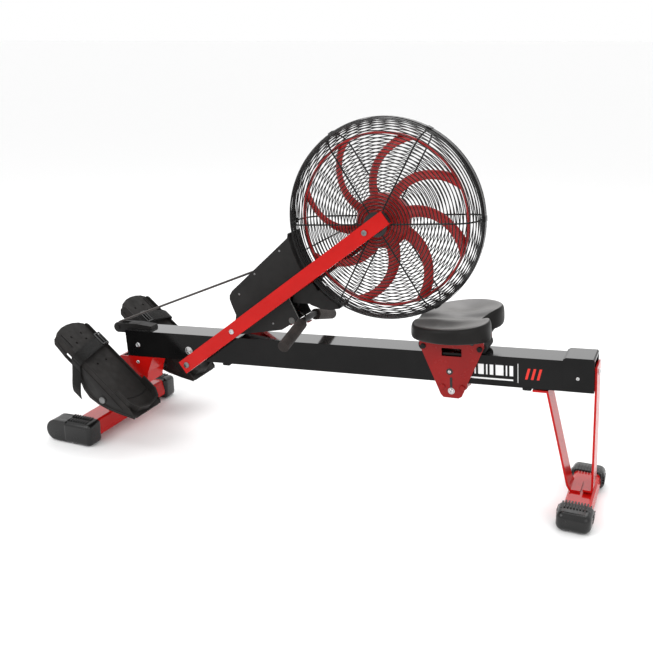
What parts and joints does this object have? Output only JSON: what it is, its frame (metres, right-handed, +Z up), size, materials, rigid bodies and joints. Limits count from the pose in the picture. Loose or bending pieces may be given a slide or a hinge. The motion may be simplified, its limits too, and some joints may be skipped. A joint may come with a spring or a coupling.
{
  "type": "air rowing machine",
  "caption": "Air rower: caged fan on two arms that fold over a sloping beam, sliding saddle seat, strapped tilting footplates, pull handle and two cross feet.",
  "frame": {"origin": "on the floor, under the middle of the bounding box", "axes": "+X from the footplates towards the seat end of the beam, +Y across the machine away from the near side, +Z up, metres"},
  "size_m": [1.74, 0.537, 1.0653],
  "materials": {
    "red_paint": "gloss",
    "black_paint": "gloss",
    "black_wire": "satin",
    "black_plastic": "fine grain",
    "rubber": "matt",
    "steel": "satin",
    "dark_red": "satin",
    "foam": "closed cell foam, matt",
    "saddle": "moulded, satin",
    "webbing": "woven webbing, matt"
  },
  "bodies": {
    "frame": {"beam_bolt_front": "steel", "beam_bolt_lock": "steel", "cord_anchor": "steel", "front_bumper": "rubber", "front_cap_far": "black_plastic", "front_cap_near": "black_plastic", "front_end_plug": "black_plastic", "front_post": "red_paint", "front_stabilizer": "red_paint", "main_beam": "black_paint", "pedal_axle": "steel", "pivot_bolt": "steel", "pulley_bracket": "black_plastic", "rear_bumper": "rubber", "rear_cap_far": "black_plastic", "rear_cap_near": "black_plastic", "rear_end_cap": "black_plastic", "rear_leg": "red_paint", "rear_stabilizer": "red_paint", "rear_strut": "red_paint", "return_cord": "webbing"},
    "fan_frame": {"arm_near": "red_paint", "arm_far": "red_paint", "arm_plug_near": "black_plastic", "arm_plug_far": "black_plastic", "cover_bolt": "steel", "drive_cover_near": "black_plastic", "drive_cover_far": "black_plastic", "chain_guard": "black_plastic", "handle_cradle": "red_paint", "fan_axle": "steel", "cage_near": "black_wire", "cage_far": "black_wire", "cage_rim": "black_plastic", "drive_chain": "steel", "mouth_idler": "black_plastic", "cord_idler": "black_plastic"},
    "fan": {"fan_wheel": "dark_red"},
    "sprocket": {"drive_sprocket": "steel"},
    "handle": {"handle_bar": "steel", "grip_near": "foam", "grip_far": "foam"},
    "seat": {"seat_pad": "saddle", "seat_base": "black_plastic", "seat_plate_near": "red_paint", "seat_plate_far": "red_paint"},
    "top_roller_front": {"roller_top_front": "rubber"},
    "top_roller_rear": {"roller_top_rear": "rubber"},
    "low_roller_front": {"roller_low_front": "rubber"},
    "low_roller_rear": {"roller_low_rear": "rubber"},
    "pedal_near": {"footplate_near": "black_plastic", "foot_strap_near": "webbing", "strap_buckle_near": "black_plastic"},
    "pedal_far": {"footplate_far": "black_plastic", "foot_strap_far": "webbing", "strap_buckle_far": "black_plastic"},
    "front_roller": {"front_pulley": "black_plastic"},
    "wheel_near": {"transport_wheel_near": "rubber"},
    "wheel_far": {"transport_wheel_far": "rubber"}
  },
  "joints": [
    {"name": "fan_frame_fold", "type": "hinge", "parent": "frame", "child": "fan_frame", "pos_m": [-0.4084, 0, 0.2795], "axis": [0, -1, 0], "range_deg": [0, 80], "deforming": ["return_cord"]},
    {"name": "fan_spin", "type": "hinge", "parent": "fan_frame", "child": "fan", "pos_m": [0.211, 0, 0.7755], "axis": [0, -1, 0], "continuous": true},
    {"name": "sprocket_spin", "type": "hinge", "parent": "fan_frame", "child": "sprocket", "pos_m": [0.211, 0, 0.7755], "axis": [0, -1, 0], "range_deg": [-600, 5]},
    {"name": "handle_pull", "type": "slide", "parent": "fan_frame", "child": "handle", "axis": [0.9976, 0, 0.0692], "range_m": [0, 0.3], "stiffness_N_per_m": 60, "deforming": ["drive_chain"]},
    {"name": "seat_slide", "type": "slide", "parent": "frame", "child": "seat", "axis": [0.9976, 0, 0.0692], "range_m": [-0.03, 0.15]},
    {"name": "top_roller_front_spin", "type": "hinge", "parent": "seat", "child": "top_roller_front", "pos_m": [0.3512, 0, 0.43102], "axis": [0, 1, 0], "range_deg": [-100, 480]},
    {"name": "top_roller_rear_spin", "type": "hinge", "parent": "seat", "child": "top_roller_rear", "pos_m": [0.5148, 0, 0.44237], "axis": [0, 1, 0], "range_deg": [-100, 480]},
    {"name": "low_roller_front_spin", "type": "hinge", "parent": "seat", "child": "low_roller_front", "pos_m": [0.41328, 0, 0.31644], "axis": [0, 1, 0], "range_deg": [-715, 145]},
    {"name": "low_roller_rear_spin", "type": "hinge", "parent": "seat", "child": "low_roller_rear", "pos_m": [0.47114, 0, 0.32045], "axis": [0, 1, 0], "range_deg": [-715, 145]},
    {"name": "pedal_tilt_near", "type": "hinge", "parent": "frame", "child": "pedal_near", "pos_m": [-0.6325, -0.1765, 0.178], "axis": [0, 1, 0], "range_deg": [-20, 20]},
    {"name": "pedal_tilt_far", "type": "hinge", "parent": "frame", "child": "pedal_far", "pos_m": [-0.6325, 0.1765, 0.178], "axis": [0, 1, 0], "range_deg": [-20, 20]},
    {"name": "front_roller_spin", "type": "hinge", "parent": "frame", "child": "front_roller", "pos_m": [-0.7275, 0, 0.3385], "axis": [0, 1, 0], "continuous": true},
    {"name": "wheel_spin_near", "type": "hinge", "parent": "frame", "child": "wheel_near", "pos_m": [-0.836, 0, 0.0292], "axis": [0, 1, 0], "continuous": true},
    {"name": "wheel_spin_far", "type": "hinge", "parent": "frame", "child": "wheel_far", "pos_m": [-0.836, 0, 0.0292], "axis": [0, 1, 0], "continuous": true}
  ],
  "couplings": [
    {"joint": "sprocket_spin", "follows": "handle_pull", "rad_per_m": -34.722},
    {"joint": "top_roller_front_spin", "follows": "seat_slide", "rad_per_m": 54.645},
    {"joint": "top_roller_rear_spin", "follows": "seat_slide", "rad_per_m": 54.645},
    {"joint": "low_roller_front_spin", "follows": "seat_slide", "rad_per_m": -81.301},
    {"joint": "low_roller_rear_spin", "follows": "seat_slide", "rad_per_m": -81.301}
  ]
}
